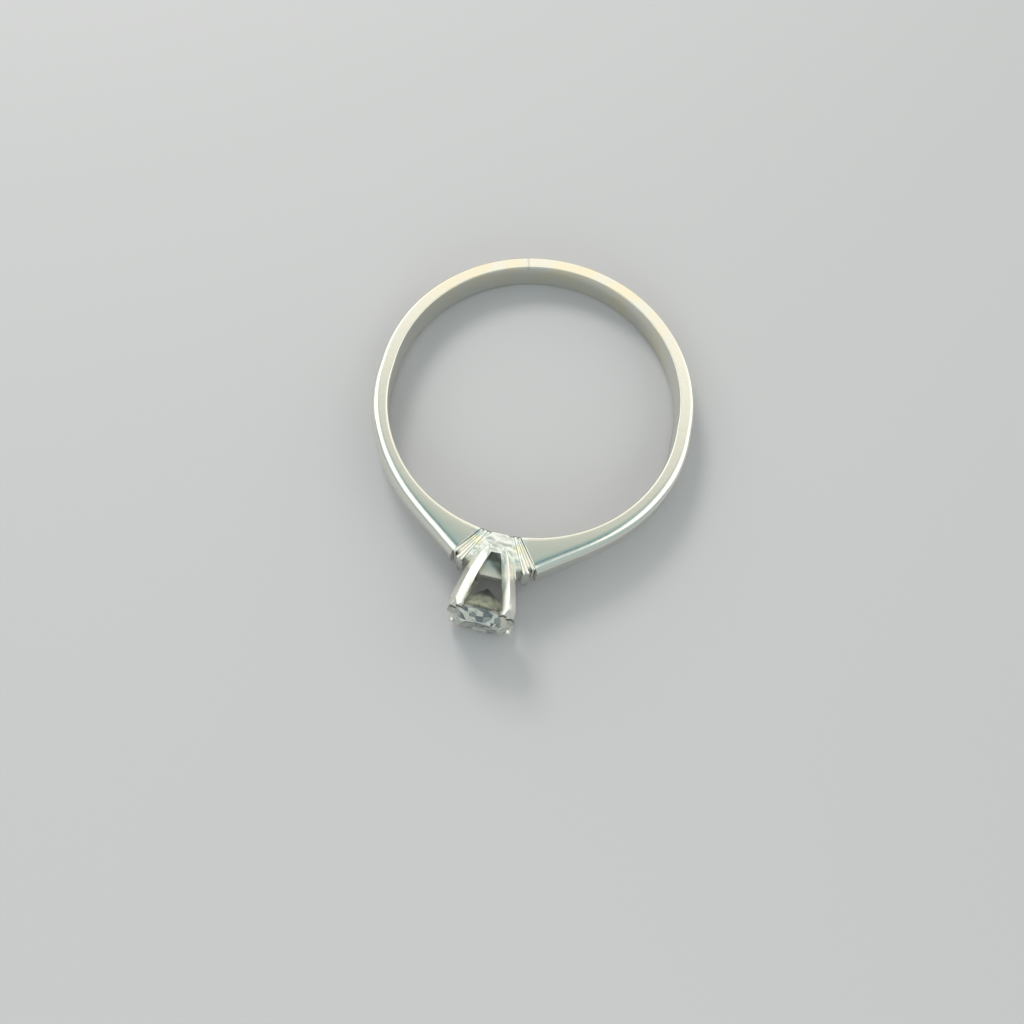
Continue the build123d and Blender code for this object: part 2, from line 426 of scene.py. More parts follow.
class RingFinish(bpy.types.PropertyGroup):
    """Colours and polish."""

    gold_colour: colour_property("White gold", "Colour of the polished metal", (0.80, 0.79, 0.72))
    solder_colour: colour_property("Solder", "Whiter metal of the setting's foot", (0.78, 0.83, 0.81))
    warm_colour: colour_property("Worn plating", "Tint of the worn plating at the back", (0.85, 0.78, 0.60))
    yellow_colour: colour_property("Yellow", "Pale yellow patches on the ridges", (0.84, 0.81, 0.62))
    # Painted glint: a warm reflection painted on a lobe of the left lower claw
    glint_colour: colour_property("Glint", "Painted warm glint at the left lower claw", (1.0, 0.66, 0.40))
    # Painted shade: a dark greenish tone in the V's recess, where the foot lies in shade
    recess_shade_colour: colour_property("Recess", "Painted greenish shade at the V's point", (0.12, 0.14, 0.11))
    # Painted shade inside the setting, and a painted dark red-brown reflection on the upper claws' ends
    setting_shade_colour: colour_property("Setting shade", "Painted shade in the setting, painted reflection on the claws' ends", (0.09, 0.05, 0.04))
    film_colour: colour_property("Film", "Dull film on the stone's underside", (0.30, 0.32, 0.24))
    stone_colour: colour_property("Stone", "Colour of the stone", (0.92, 0.96, 0.92))
    roughness: share_property("Roughness", "Roughness of the polished metal", 0.14)


class RingStage(bpy.types.PropertyGroup):
    """Camera and light."""

    lens: FloatProperty(
        name="Lens", description="Focal length on a 36 mm sensor", default=33.4, min=10.0, max=200.0,
        unit="CAMERA",
    )
    key_power: power_property("Key power", "Power of the light from behind on the left", 0.16)
    fill_power: power_property("Fill power", "Power of the soft light on the stone", 0.05)


Sizes = namedtuple("Sizes", "band setting finish stage")


def sizes():
    """All that a user can change."""
    scene = bpy.context.scene
    return Sizes(scene.ring_shank, scene.ring_setting, scene.ring_finish, scene.ring_stage)


def ring_place():
    """Lays a ring made level where the part lies."""
    mount = frame["record"]["mounts"][0]
    tilt = asin(mount["axis"][1])
    shift = Vector((0.0, cos(tilt), -sin(tilt))) * sizes().band.mount_shift
    return Matrix.Translation(Vector(mount["pos_m"]) - shift) @ Matrix.Rotation(-tilt, 4, "X")


def smooth(value, low, high):
    """0 at low, 1 at high and smooth between; low may be the greater."""
    share = max(0.0, min(1.0, (value - low) / (high - low)))
    return share * share * (3 - 2 * share)


def rim_distance():
    """From the hole's middle to its rim at the setting."""
    band = sizes().band
    return band.hole_radius + band.hole_stretch


def apex_distance():
    """From the hole's middle to the point that the wedge's sides spread from."""
    setting = sizes().setting
    return rim_distance() - setting.wedge_half_width / tan(setting.wedge_half_angle)


def hole_reach(turn):
    """From the hole's middle to its wall, at an angle in radians from the setting."""
    band = sizes().band
    across = band.hole_stretch * sin(turn)
    return band.hole_stretch * abs(cos(turn)) + sqrt(band.hole_radius**2 - across**2)


def wall_share(turn):
    """The share of the extra wall at an angle in radians, smooth through the stations."""
    angle = min(turn, 2 * pi - turn) * 180 / pi
    stations = WALL_STATIONS
    last = len(stations) - 1
    i = max(k for k in range(last) if k == 0 or stations[k].angle <= angle)
    a, b = stations[i], stations[i + 1]
    before, after = stations[max(i - 1, 0)], stations[min(i + 2, last)]
    slope_a = (b.share - before.share) / (b.angle - before.angle)
    slope_b = (after.share - a.share) / (after.angle - a.angle)
    span = b.angle - a.angle
    t = (angle - a.angle) / span
    rise = (2 * t**3 - 3 * t**2 + 1) * a.share + (3 * t**2 - 2 * t**3) * b.share
    return rise + span * ((t**3 - 2 * t**2 + t) * slope_a + (t**3 - t**2) * slope_b)


def band_wall(turn):
    """The band's thickness at an angle in radians from the setting."""
    band = sizes().band
    return band.back_wall + wall_share(turn) * (band.shoulder_wall - band.back_wall)


def band_half_width(y):
    """Half the band's axial width at a distance behind the hole's middle."""
    band = sizes().band
    back = rim_distance() + band.back_wall
    shoulder = rim_distance() + band.shoulder_wall
    growth = (band.shoulder_width - band.back_width) / (back + shoulder)
    return (band.back_width + growth * (back - y)) / 2


def shoulder_turn(reach):
    """Angle from the setting at which the shoulder's end face meets a circle about the hole."""
    lean = tan(sizes().setting.wedge_half_angle) ** 2
    apex = apex_distance()
    along = (lean * apex + sqrt(reach**2 * (1 + lean) - lean * apex**2)) / (1 + lean)
    return acos(along / reach)


def wedge_reach():
    """From the wedge's apex to the shoulder's outer corner."""
    corner = sizes().setting.shoulder_angle
    reach = hole_reach(corner) + sizes().band.shoulder_wall
    return hypot(reach * sin(corner), reach * cos(corner) - apex_distance())


def bevel(bm, geom, width, segments, affect="EDGES"):
    """Rounds edges, or a flat face's corners for VERTICES, and gives the new faces."""
    return bmesh.ops.bevel(
        bm, geom=geom, offset=width, offset_type="OFFSET", affect=affect, segments=segments,
        profile=0.5, material=-1, clamp_overlap=affect == "EDGES",
    )["faces"]


def round_edges(bm, sharper_than):
    """Rounds every edge where two faces meet at more than an angle in degrees."""
    limit = radians(sharper_than)
    edges = [e for e in bm.edges if len(e.link_faces) == 2 and e.calc_face_angle(0.0) > limit]
    bevel(bm, edges, sizes().setting.edge_round, EDGE_SEGMENTS)


def draw_on(bm, face):
    """Extrudes a face and gives the new end. A face that already ends a solid goes."""
    inside = [face] if any(len(e.link_faces) > 1 for e in face.edges) else []
    made = bmesh.ops.extrude_face_region(bm, geom=[face])["geom"]
    bmesh.ops.delete(bm, geom=inside, context="FACES_ONLY")
    return next(f for f in made if isinstance(f, bmesh.types.BMFace))


def new_object(name, data):
    """Adds an object to the scene."""
    made = bpy.data.objects.new(name, data)
    bpy.context.scene.collection.objects.link(made)
    return made


def mesh_object(name, bm, material):
    """Adds an object of a bmesh, which is freed, with one material."""
    mesh = bpy.data.meshes.new(name)
    bm.to_mesh(mesh)
    bm.free()
    mesh.materials.append(material)
    return new_object(name, mesh)


def metal_piece(name, bm):
    """Makes a white gold piece of a mesh made level, laid where the part lies."""
    bmesh.ops.remove_doubles(bm, verts=bm.verts, dist=MERGED)
    bmesh.ops.recalc_face_normals(bm, faces=bm.faces)
    for face in bm.faces:
        face.smooth = True
    bmesh.ops.transform(bm, matrix=ring_place(), verts=bm.verts)
    piece = mesh_object(name, bm, material_of("Polished white gold", white_gold))
    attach(piece, "root")
    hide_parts("shank_and_setting")
    return piece


def shade_evenly(piece):
    """Keeps a piece's flat faces flat beside its rounded edges."""
    piece.modifiers.new("Even shading", "WEIGHTED_NORMAL")


class Wire:
    """A socket that can stand in sums and products, each of which adds a Math node."""

    def __init__(self, graph, socket):
        self.graph = graph
        self.socket = socket

    def math(self, operation, *others):
        """Works on this number and others."""
        return self.graph.node("ShaderNodeMath", {"operation": operation}, [self, *others])

    def __add__(self, other):
        return self.math("ADD", other)

    __radd__ = __add__

    def __mul__(self, other):
        return self.math("MULTIPLY", other)

    __rmul__ = __mul__

    def __sub__(self, other):
        return self.math("SUBTRACT", other)

    def __rsub__(self, other):
        return self.graph.node("ShaderNodeMath", {"operation": "SUBTRACT"}, [other, self])

    def __neg__(self):
        return self.math("MULTIPLY", -1.0)

    def __abs__(self):
        return self.math("ABSOLUTE")

    def rises(self, span):
        """0 before a span, 1 past it and smooth between."""
        settings = {"interpolation_type": "SMOOTHSTEP"}
        values = {"Value": self, "From Min": span.low, "From Max": span.high}
        return self.graph.node("ShaderNodeMapRange", settings, values)

    def falls(self, span):
        """1 before a span, 0 past it and smooth between."""
        return 1.0 - self.rises(span)


class Graph:
    """A node tree that is written as calls."""

    def __init__(self, tree):
        self.tree = tree
        tree.nodes.clear()

    def node(self, kind, settings=None, values=(), out=0):
        """Adds a node with its settings, then its sockets' values or links, and gives one output."""
        node = self.tree.nodes.new(kind)
        for key, value in (settings or {}).items():
            setattr(node, key, value)
        pairs = values.items() if isinstance(values, dict) else enumerate(values)
        for key, value in pairs:
            if isinstance(value, Wire):
                self.tree.links.new(value.socket, node.inputs[key])
            else:
                node.inputs[key].default_value = value
        return Wire(self, node.outputs[out] if node.outputs else None)

    def mix(self, share, first, second):
        """Mixes two colours."""
        first, second = (c if isinstance(c, Wire) else (*c[:3], 1.0) for c in (first, second))
        values = {MIX_SHARE: share, MIX_FIRST: first, MIX_SECOND: second}
        return self.node("ShaderNodeMix", {"data_type": "RGBA"}, values, out=MIX_RESULT)

    def ramp(self, stops, place):
        """A colour by a number, through stops of a place and a colour."""
        made = self.node("ShaderNodeValToRGB", {}, [place])
        elements = made.socket.node.color_ramp.elements
        while len(elements) < len(stops):
            elements.new(1.0)
        for element, (position, colour) in zip(elements, stops):
            element.position, element.color = position, (*colour, 1.0)
        return made

    def parts(self, vector):
        """The three parts of a vector."""
        split = self.node("ShaderNodeSeparateXYZ", {}, {"Vector": vector})
        return [Wire(self, socket) for socket in split.socket.node.outputs]

    def vector(self, operation, *values):
        """Works on whole vectors."""
        return self.node("ShaderNodeVectorMath", {"operation": operation}, values)

    def principled(self, values):
        """The general shader, with its sockets' values."""
        return self.node("ShaderNodeBsdfPrincipled", {}, values)

    def noise(self, place, pattern):
        """A cloudy pattern."""
        scale, detail, roughness = pattern
        values = {"Vector": place, "Scale": scale, "Detail": detail, "Roughness": roughness}
        return self.node("ShaderNodeTexNoise", {}, values)


def distance(first, second):
    """How far away a point is, from its distances along two axes."""
    return (first * first + second * second).math("SQRT")


def material_of(name, shader_of):
    """The material of that name, made on first use with a shader's graph."""
    material = bpy.data.materials.get(name)
    if not material:
        material = bpy.data.materials.new(name)
        material.use_nodes = True
        graph = Graph(material.node_tree)
        graph.node("ShaderNodeOutputMaterial", {}, {"Surface": shader_of(graph)})
    return material


def level_place(graph):
    """Object coordinates in millimetres, in the level ring's own axes about the hole's middle."""
    place = ring_place()
    return graph.node("ShaderNodeMapping", {"vector_type": "TEXTURE"}, {
        "Vector": graph.node("ShaderNodeTexCoord", out="Object"),
        "Location": place.to_translation(),
        "Rotation": (place.to_euler().x, 0.0, 0.0),
        "Scale": (MM, MM, MM),
    })


def white_gold(graph):
    """Polished white gold with fine wear, whiter solder, worn plating, a seam, painted shade in the V and
    inside the setting, a painted dark reflection on the upper claws' ends and a painted glint.
    """
    setting, finish = sizes().setting, sizes().finish
    place = level_place(graph)
    x, y, z = graph.parts(place)
    out, height = abs(x), abs(z)
    past_roots = -y - (rim_distance() + setting.root_depth) / MM
    past_girdle = past_roots - (setting.stone_depth - setting.root_depth) / MM
    at_seam = abs(x * cos(SEAM_TURN) + y * sin(SEAM_TURN))
    at_patch = distance(out - PATCH_OUT, y + PATCH_FRONT)
    at_glint = distance(x + GLINT_LEFT, z + GLINT_LOW)
    within_claws = CLAW_ROOM + past_roots * CLAW_SPREAD - distance(x, z)

    cloud = graph.noise(place, CLOUDS)
    grain = graph.noise(place, GRAIN)
    stretch = {"Vector": place, "Rotation": SCRATCH_TURN, "Scale": SCRATCH_STRETCH}
    scratch = graph.noise(graph.node("ShaderNodeMapping", {}, stretch), SCRATCHES)
    lumps = graph.noise(place, LUMPS)

    worn = y.rises(WORN_BACK) * cloud.rises(CLOUD_LEVEL)
    solder = past_roots.falls(SOLDER_END) * out.falls(SOLDER_OUT) * past_roots.rises(SOLDER_START)
    patch = at_patch.falls(PATCH_EDGE) * z.rises(PATCH_TOP)
    seam = at_seam.falls(SEAM_EDGE) * y.rises(SEAM_BACK) * z.rises(SEAM_TOP)
    # Painted shade: darkens the V's recess past its point
    recess_shade = (past_roots - x * RECESS_START_SLANT).rises(RECESS_START)
    recess_shade = recess_shade * (past_roots - x * RECESS_END_SLANT).falls(RECESS_END)
    recess_shade = recess_shade * height.falls(RECESS_HEIGHT) * out.falls(RECESS_OUT)
    # Painted shade inside the setting between the claws, and a painted dark reflection on the upper claws'
    # ends
    setting_shade = within_claws.rises(SHADE_EDGE) * past_roots.rises(SHADE_START) * z.falls(SHADE_TOP)
    setting_shade = setting_shade.math("MAXIMUM", past_girdle.rises(TIP_START) * z.rises(TIP_TOP))
    # Painted glint on the left lower claw's lobe
    glint = at_glint.falls(GLINT_EDGE) * past_girdle.rises(GLINT_START)
    in_v = (out - past_roots * V_SPREAD).falls(V_EDGE) * height.falls(V_HEIGHT)
    in_v = in_v * past_roots.rises(V_START)

    colour = finish.gold_colour
    for share, tone in (
        (worn * WORN_SHARE, finish.warm_colour),
        (solder * SOLDER_SHARE, finish.solder_colour),
        (patch * PATCH_SHARE, finish.yellow_colour),
        (seam * SEAM_SHARE, SEAM_COLOUR),
        (recess_shade * RECESS_SHADE_SHARE, finish.recess_shade_colour),
        (setting_shade * SETTING_SHADE_SHARE, finish.setting_shade_colour),
        (glint, finish.glint_colour),
    ):
        colour = graph.mix(share, colour, tone)
    roughness = finish.roughness + WEAR_ROUGH * grain.rises(GRAIN_LEVEL)
    roughness = roughness + SCRATCH_ROUGH * scratch.rises(SCRATCH_LEVEL)
    roughness = roughness + SHADE_ROUGH * setting_shade + V_ROUGH * in_v
    swell = lumps * (solder + LUMP_ELSEWHERE)
    uneven = graph.node("ShaderNodeBump", {}, {"Distance": LUMP_HEIGHT, "Height": swell})
    fine = graph.node("ShaderNodeBump", {}, {
        "Normal": uneven, "Strength": FINE_STRENGTH, "Distance": FINE_HEIGHT,
        "Height": grain * 0.5 + scratch * 0.5,
    })
    gold = {"Base Color": colour, "Metallic": 1.0, "Roughness": roughness, "Normal": fine}
    return graph.principled(gold)


def facet_reflection(graph, place, facing, ends):
    """The painted reflection of a crown facet's patch, by chance, and a painted beige reflection towards the
    crown's two ends.
    """
    facet = graph.vector("SNAP", facing, FACET_STEP)
    shifted = graph.vector("MULTIPLY_ADD", facet, FACET_MOVE, place)
    cell = graph.node("ShaderNodeTexVoronoi", {}, {"Vector": shifted, "Scale": FACET_CELLS}, out="Position")
    chance = graph.node("ShaderNodeTexWhiteNoise", {"noise_dimensions": "3D"}, {"Vector": cell})
    return graph.mix(ends * CROWN_END_REFLECTION_SHARE, graph.ramp(FACET_REFLECTION_STOPS, chance), CROWN_END_REFLECTION)


def clear_stone(graph):
    """Clear faceted stone with a dull film below the girdle, painted shade at its point and painted
    reflections on the facets above it.
    """
    setting, finish = sizes().setting, sizes().finish
    place = level_place(graph)
    x, y, _ = graph.parts(place)
    haze = graph.noise(place, HAZE)
    below = y + (rim_distance() + setting.stone_depth) / MM
    crown = below.falls(CROWN_EDGE)
    true_normal = graph.node("ShaderNodeNewGeometry", out="True Normal")
    facing = graph.vector("ADD", true_normal, FACET_SHIFT)
    table = graph.parts(facing)[1].falls(TABLE_FACING)

    film = below.rises(FILM_START) * (FILM_LEAST + FILM_MORE * haze.rises(FILM_LEVEL))
    film = film.math("MAXIMUM", below.rises(POINT_START) * POINT_SHADE)
    film = film + crown * (CROWN_REFLECTIONS - TABLE_CLEAR * table)
    # Painted shade: the film turns nearly black towards the stone's point
    tone = graph.mix(below.rises(CULET_START), finish.film_colour, CULET_SHADE)
    # Painted reflections on the crown's facets, beige towards its ends
    tone = graph.mix(crown, tone, facet_reflection(graph, place, facing, abs(x).rises(CROWN_ENDS)))
    glass = graph.principled({
        "Base Color": (*finish.stone_colour, 1.0),
        "Roughness": GLASS_ROUGHNESS + HAZE_ROUGH * haze.rises(GLASS_LEVEL),
        "IOR": STONE_IOR,
        "Transmission Weight": 1.0,
    })
    dull = graph.principled({"Base Color": tone, "Roughness": FILM_ROUGHNESS})
    return graph.node("ShaderNodeMixShader", {}, [film, glass, dull])


def blank_band(bm, start):
    """Makes an even band with rounded edges, open at the setting up to an angle in radians."""
    band = sizes().band
    middle = band.hole_radius + BLANK_WALL / 2
    corners = [(middle + a * BLANK_WALL / 2, 0.0, b * BLANK_HALF) for a, b in SQUARE]
    bm.faces.new([bm.verts.new(corner) for corner in corners])
    bevel(bm, [v for v in bm.verts if v.co.x < middle], band.inner_round, INNER_SEGMENTS, "VERTICES")
    bevel(bm, [v for v in bm.verts if v.co.x > middle], band.back_round, OUTER_SEGMENTS, "VERTICES")
    sides = [e for e in bm.edges if abs(e.verts[0].co.x - e.verts[1].co.x) > BLANK_WALL / 2]
    bmesh.ops.subdivide_edges(bm, edges=sides, cuts=SIDE_CUTS)
    bmesh.ops.dissolve_edges(bm, edges=[e for e in bm.edges if not e.is_boundary])
    bmesh.ops.rotate(bm, verts=bm.verts, matrix=Matrix.Rotation(start - pi / 2, 3, "Z"))
    bmesh.ops.spin(
        bm, geom=bm.verts[:] + bm.edges[:], axis=(0.0, 0.0, 1.0), angle=2 * pi - 2 * start,
        steps=band.steps,
    )
    bmesh.ops.holes_fill(bm, edges=[e for e in bm.edges if e.is_boundary])


def band_point(point, start):
    """Where a point of the even band lies on the tapered one, with its leaning ends."""
    band = sizes().band
    turn = atan2(point.x, -point.y) % (2 * pi)
    near = min(turn, 2 * pi - turn)
    left = turn > pi
    thickness = band_wall(turn)
    growth = smooth(near, ROUND_FROM, ROUND_TO)
    rounding = band.back_round + growth * (band.shoulder_round - band.back_round)
    rise = band.left_rise if left else band.right_rise
    tall = band.back_round + growth * (rise - band.back_round)
    dome = (band.left_dome if left else band.right_dome) * smooth(near, DOME_FROM, DOME_TO)
    fine = 1.0 - (1.0 - band.back_fineness) * smooth(near, FINE_FROM, FINE_TO)

    # How deep in the wall the point is, and how far it drops below the band's side
    depth = point.xy.length - band.hole_radius
    drop = abs(point.z) - BLANK_HALF
    if depth < ROUND_REACH * band.inner_round:
        depth, drop = depth * fine, drop * fine
    if depth > BLANK_WALL - ROUND_REACH * band.back_round:
        depth = thickness + (depth - BLANK_WALL) * rounding / band.back_round
        drop *= tall / band.back_round
    elif depth > ROUND_REACH * band.inner_round:
        share = (depth - band.inner_round) / (BLANK_WALL - band.inner_round - band.back_round)
        edge = fine * band.inner_round
        depth = edge + share * (thickness - rounding - edge)
    drop -= dome * (depth / thickness - band.dome_top) ** 2

    fade = max(0.0, (LEAN_END - near) / (LEAN_END - start))
    lean = (shoulder_turn(rim_distance() + depth) - start) * fade
    turn += -lean if left else lean
    reach = hole_reach(turn) + depth
    y = -reach * cos(turn)
    side = 1.0 if point.z > 0 else -1.0
    return Vector((reach * sin(turn), y, side * (band_half_width(y) + drop)))


class RING_OT_shank(bpy.types.Operator):
    """Builds the tapered band from one section spun round the finger hole"""

    bl_idname = "ring.shank"
    bl_label = "Shank"

    def execute(self, context):
        start = shoulder_turn(rim_distance())
        bm = bmesh.new()
        blank_band(bm, start)
        for vert in bm.verts:
            vert.co = band_point(vert.co, start)
        rims = [e for f in bm.faces if len(f.verts) > 4 for e in f.edges]
        rounded = {*bevel(bm, rims, sizes().band.end_round, EDGE_SEGMENTS)}
        for edge in {e for f in rounded for e in f.edges}:
            edge.smooth = rounded.issuperset(edge.link_faces)
        metal_piece("shank", bm)
        return {"FINISHED"}


def rounded_plate(bm, side, plate):
    """Adds a plate to the wedge's left or right, from the finger hole out to its reach.

    Its top and bottom come nearer to each other towards the finger hole."""
    band, setting = sizes().band, sizes().setting
    apex = apex_distance()
    behind = apex - band.hole_stretch
    middle = (plate.outer + plate.inner) / 2
    along = Vector((side * sin(middle), -cos(middle), 0.0))
    across = Vector((cos(middle), side * sin(middle), 0.0))
    half = tan((plate.outer - plate.inner) / 2)
    origin = Vector((0.0, -apex, 0.0))
    corners = []
    for a, b in SQUARE:
        up = Vector((0.0, 0.0, b * plate.height / 2))
        corners.append(bm.verts.new(origin + (along * plate.reach + across * a * half * plate.reach + up)))
    bm.faces.new(corners)
    bevel(bm, corners, 2 * half * plate.reach * plate.rounding, PLATE_SEGMENTS, "VERTICES")
    centre = origin + along * plate.reach
    end = next(f for f in bm.faces if (f.calc_center_median() - centre).length < NEAR)
    fall = 1.0
    for share in PLATE_STATIONS:
        end = draw_on(bm, end)
        before = fall
        fall = 1 - 2 * setting.ridge_sag * (1 - share) / plate.height
        for vert in end.verts:
            off = vert.co - origin
            slant = off.dot(across) / off.dot(along)
            turn = middle + side * atan2(slant, 1.0)
            wall = -behind * cos(turn) + sqrt(band.hole_radius**2 - (behind * sin(turn)) ** 2)
            reach = wall * cos(turn - middle) * (1 - share) + share * plate.reach
            vert.co = origin + (along + across * slant) * reach + Vector((0.0, 0.0, off.z / before * fall))


class RING_OT_ridges(bpy.types.Operator):
    """Builds the grooved parts and the ridges between the shoulders and the setting"""

    bl_idname = "ring.ridges"
    bl_label = "Ridges"

    def execute(self, context):
        band, setting = sizes().band, sizes().setting
        reach = wedge_reach()
        floor_reach = reach - setting.groove_depth
        floor_height = band.shoulder_width - 2 * setting.groove_depth
        angles = (setting.wedge_half_angle, setting.setting_angle)
        plates = [Plate(*angles, floor_reach, floor_height, GROOVE_ROUND)]
        for ridge in RIDGES:
            angles = (radians(ridge.outer), radians(ridge.inner))
            height = ridge.height * band.shoulder_width
            plates.append(Plate(*angles, ridge.reach * reach, height, RIDGE_ROUND))
        bm = bmesh.new()
        for side in (-1, 1):
            for plate in plates:
                rounded_plate(bm, side, plate)
        bmesh.ops.recalc_face_normals(bm, faces=bm.faces)
        far = -apex_distance() - PLATE_END * reach
        ends = [f for f in bm.faces if len(f.verts) > 4 and f.calc_center_median().y < far]
        bevel(bm, [e for f in ends for e in f.edges], setting.edge_round, EDGE_SEGMENTS)
        metal_piece("shoulder_ridges", bm)
        return {"FINISHED"}


def prism(bm, outline, half, axis="Z"):
    """Adds a flat outline drawn to both sides by half a height, along Z.

    Drawn along X, the outline has its points as (y, z)."""
    verts = [bm.verts.new((a, b, -half) if axis == "Z" else (-half, a, b)) for a, b in outline]
    face = bm.faces.new(verts)
    made = bmesh.ops.extrude_face_region(bm, geom=[face])["geom"]
    step = (0.0, 0.0, 2 * half) if axis == "Z" else (2 * half, 0.0, 0.0)
    bmesh.ops.translate(bm, vec=step, verts=[v for v in made if isinstance(v, bmesh.types.BMVert)])


def foot_block(bm, half):
    """Adds the V, whose top and bottom rise from the finger hole to the V's point."""
    setting, rim = sizes().setting, rim_distance()
    right = [
        (setting.root_half_width * FOOT_NARROW, -rim),
        (setting.root_half_width, -rim - setting.root_depth),
        (setting.arm_outer, -rim - setting.web_depth),
        (setting.arm_inner, -rim - setting.web_depth),
        (setting.crotch_half_width, -rim - setting.crotch_depth),
    ]
    prism(bm, right + [(-x, y) for x, y in reversed(right)], half)
    bmesh.ops.bisect_plane(
        bm, geom=bm.verts[:] + bm.edges[:] + bm.faces[:], dist=ON_PLANE,
        plane_co=(0.0, -rim - setting.crotch_depth, 0.0), plane_no=(0.0, 1.0, 0.0),
    )
    for vert in bm.verts:
        share = min(1.0, (-vert.co.y - rim) / setting.crotch_depth)
        vert.co.z *= (half - setting.foot_fall * (1 - share) + setting.foot_rise * share) / half


def foot_web(bm, half):
    """Adds the web, scooped above and below in a quarter circle past the V's point."""
    setting, rim = sizes().setting, rim_distance()
    end = setting.web_thickness / 2 + setting.web_rise
    low = end - setting.web_sag
    high = WEB_INSET * half
    curve = WEB_CURVE * (setting.web_depth - setting.crotch_depth)
    upper = [(-rim - WEB_START * setting.crotch_depth, high)]
    for i in range(WEB_STEPS + 1):
        turn = i * pi / (2 * WEB_STEPS)
        y = -rim - WEB_INSET * setting.crotch_depth - curve * (1 - cos(turn))
        upper.append((y, low + (high - low) * (1 - sin(turn))))
    upper.append((-rim - WEB_INSET * setting.web_depth, end))
    prism(bm, upper + [(y, -z) for y, z in reversed(upper)], WEB_WIDTH * setting.arm_inner, axis="X")


class RING_OT_foot(bpy.types.Operator):
    """Builds the setting's foot: a V block with a web across the V"""

    bl_idname = "ring.foot"
    bl_label = "Setting foot"

    def execute(self, context):
        half = sizes().setting.block_height / 2
        bm = bmesh.new()
        foot_block(bm, half)
        foot_web(bm, half)
        bmesh.ops.recalc_face_normals(bm, faces=bm.faces)
        round_edges(bm, FOOT_SHARP)
        shade_evenly(metal_piece("setting_foot", bm))
        return {"FINISHED"}


def claw_corners(section, step):
    """The four corners of a claw's section, up and to the right in the level ring's axes."""
    setting = sizes().setting
    root = rim_distance() + setting.root_depth
    girdle = rim_distance() + setting.stone_depth
    y = -(root + section.along * (girdle - root) + step)
    out = section.out * (setting.stone_diameter / 2 + setting.claw_side / 2 - setting.claw_bite)
    middle = Vector((out * cos(radians(section.turn)), y, out * sin(radians(section.turn))))
    facing = radians(section.turn + section.twist)
    outward = Vector((cos(facing), 0.0, sin(facing))) * section.thickness * setting.claw_side / 2
    across = Vector((-sin(facing), 0.0, cos(facing))) * section.width * setting.claw_side / 2
    return [middle + a * outward + b * across for a, b in SQUARE]


def claw(sections, overhang):
    """One claw, up and to the right: a square bar through the sections, with a split tip."""
    setting = sizes().setting
    bm = bmesh.new()
    end = bm.faces.new([bm.verts.new(corner) for corner in claw_corners(sections[0], 0.0)])
    for section in sections[1:]:
        step = overhang if section is sections[-1] else 0.0
        end = draw_on(bm, end)
        for vert, corner in zip(end.verts, claw_corners(section, step)):
            vert.co = corner
    tip = end.verts[:]
    centre = sum((v.co for v in tip), Vector()) / 4
    across = (tip[2].co - tip[1].co).normalized()
    ends = [e for e in bm.edges if {*e.verts} in ({tip[1], tip[2]}, {tip[0], tip[3]})]
    bmesh.ops.subdivide_edges(bm, edges=ends, cuts=TIP_CUTS)

    def at_end(vert):
        return abs(vert.co.y - centre.y) < NEAR

    for vert in bm.verts:
        if at_end(vert) and abs((vert.co - centre).dot(across)) < NOTCH_NEAR:
            vert.co.y += setting.notch_depth
    bmesh.ops.recalc_face_normals(bm, faces=bm.faces)
    rims = [e for e in bm.edges if all(map(at_end, e.verts)) and e.calc_face_angle(0.0) > radians(TIP_SHARP)]
    bevel(bm, rims, setting.tip_round, EDGE_SEGMENTS)
    round_edges(bm, CLAW_SHARP)
    return bm


class RING_OT_claws(bpy.types.Operator):
    """Builds the four claws, each a square bar with a split tip"""

    bl_idname = "ring.claws"
    bl_label = "Claws"

    def execute(self, context):
        setting = sizes().setting
        bm = bmesh.new()
        for side, upper in ((-1, LEFT_CLAW), (1, RIGHT_CLAW)):
            lower = (*upper[:-1], LOWER_TIP)
            bars = {-1: claw(lower, setting.lower_overhang), 1: claw(upper, setting.claw_overhang)}
            for height, bar in bars.items():
                bmesh.ops.scale(bar, vec=(side, 1.0, height), verts=bar.verts)
                mesh = bpy.data.meshes.new("claw")
                bar.to_mesh(mesh)
                bar.free()
                bm.from_mesh(mesh)
                bpy.data.meshes.remove(mesh)
        shade_evenly(metal_piece("claws", bm))
        return {"FINISHED"}


class RING_OT_stone(bpy.types.Operator):
    """Gives the stone its clear finish"""

    bl_idname = "ring.stone"
    bl_label = "Stone"

    def execute(self, context):
        material = material_of("Clear stone", clear_stone)
        for slot in frame["nodes"]["stone"].material_slots:
            slot.material = material
        return {"FINISHED"}


def soft_light(light, power):
    """An area light that faces the ring."""
    data = bpy.data.lights.new(light.name, "AREA")
    data.shape, data.size, data.energy, data.color = "DISK", light.size, power, light.colour
    lamp = new_object(light.name, data)
    lamp.location = light.at
    lamp.visible_glossy = False
    lamp.rotation_mode = "QUATERNION"
    lamp.rotation_quaternion = (-Vector(light.at)).to_track_quat("-Z", "Y")


